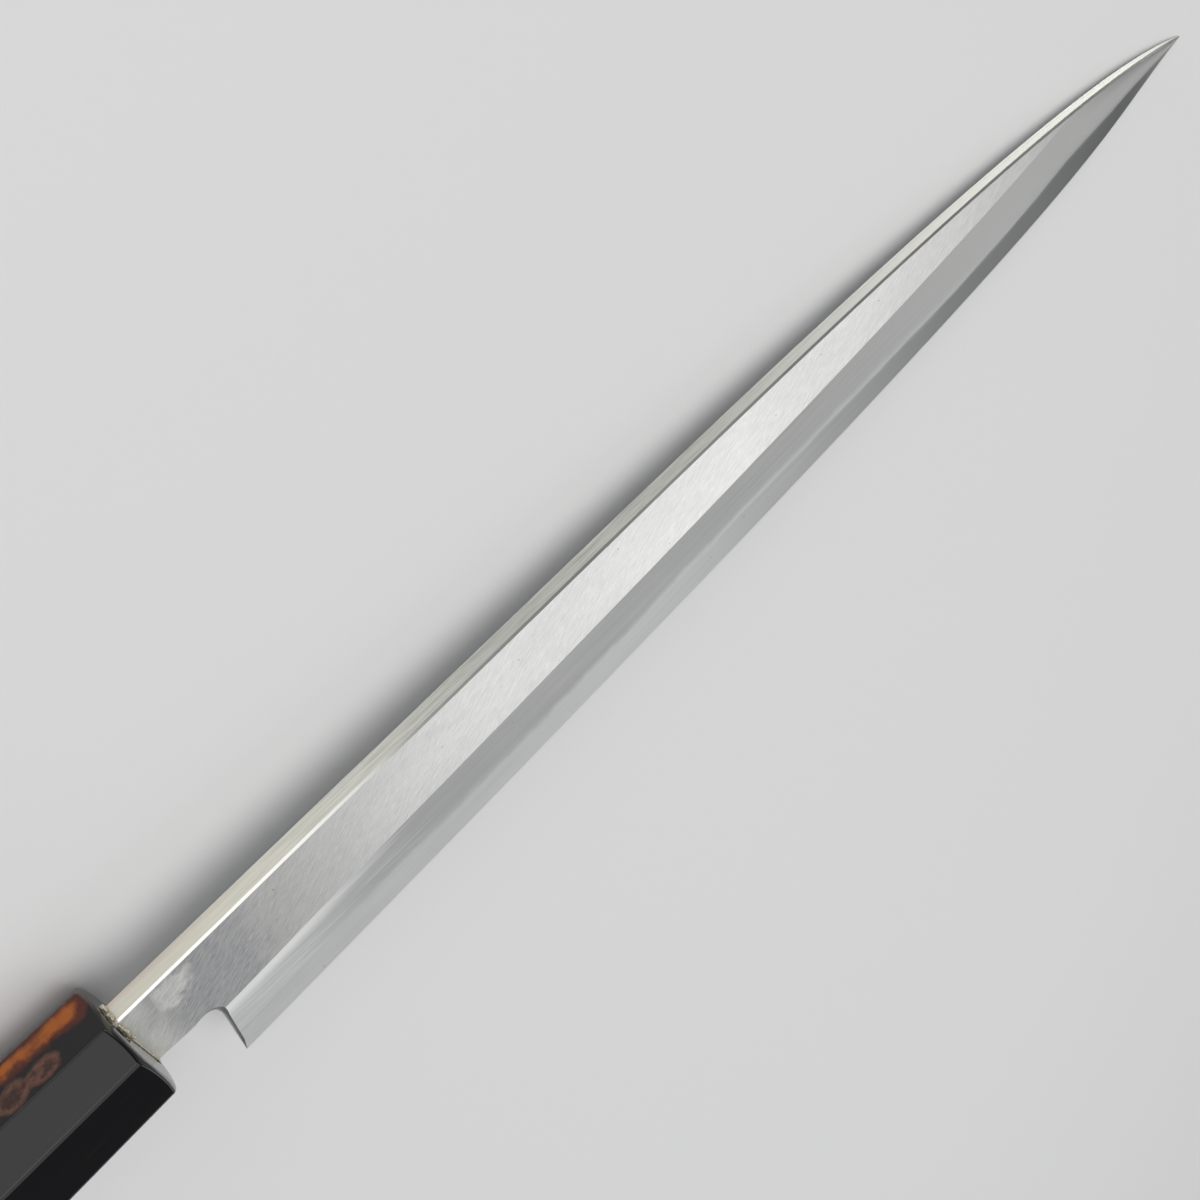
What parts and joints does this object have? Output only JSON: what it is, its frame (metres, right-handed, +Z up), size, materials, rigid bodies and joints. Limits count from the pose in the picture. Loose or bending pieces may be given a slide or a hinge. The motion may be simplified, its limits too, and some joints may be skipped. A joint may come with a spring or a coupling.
{
  "type": "yanagiba knife",
  "caption": "Long, narrow slicing knife with a laminated blade bevelled on its face, a hollow back, a notched heel, a horn ferrule and an octagonal wooden handle.",
  "frame": {"origin": "on the table under the middle of the knife's bounding box", "axes": "+X from butt to tip, +Y towards the spine, +Z up, out of the bevelled face"},
  "size_m": [0.4202, 0.0408, 0.0276],
  "materials": {
    "soft_iron": "satin, fine brush lines across the flat face",
    "hard_steel": "fine satin, brighter than the iron",
    "horn": "polished marbled horn, black with amber",
    "grip_wood": "plain sanded pale wood",
    "dowel_wood": "plain sanded",
    "resin": "clear amber"
  },
  "bodies": {
    "root": {"blade_cladding": "soft_iron", "edge_steel": "hard_steel", "ferrule": "horn", "handle_body": "grip_wood", "core_dowel": "dowel_wood", "neck_seal": "resin"}
  },
  "joints": []
}
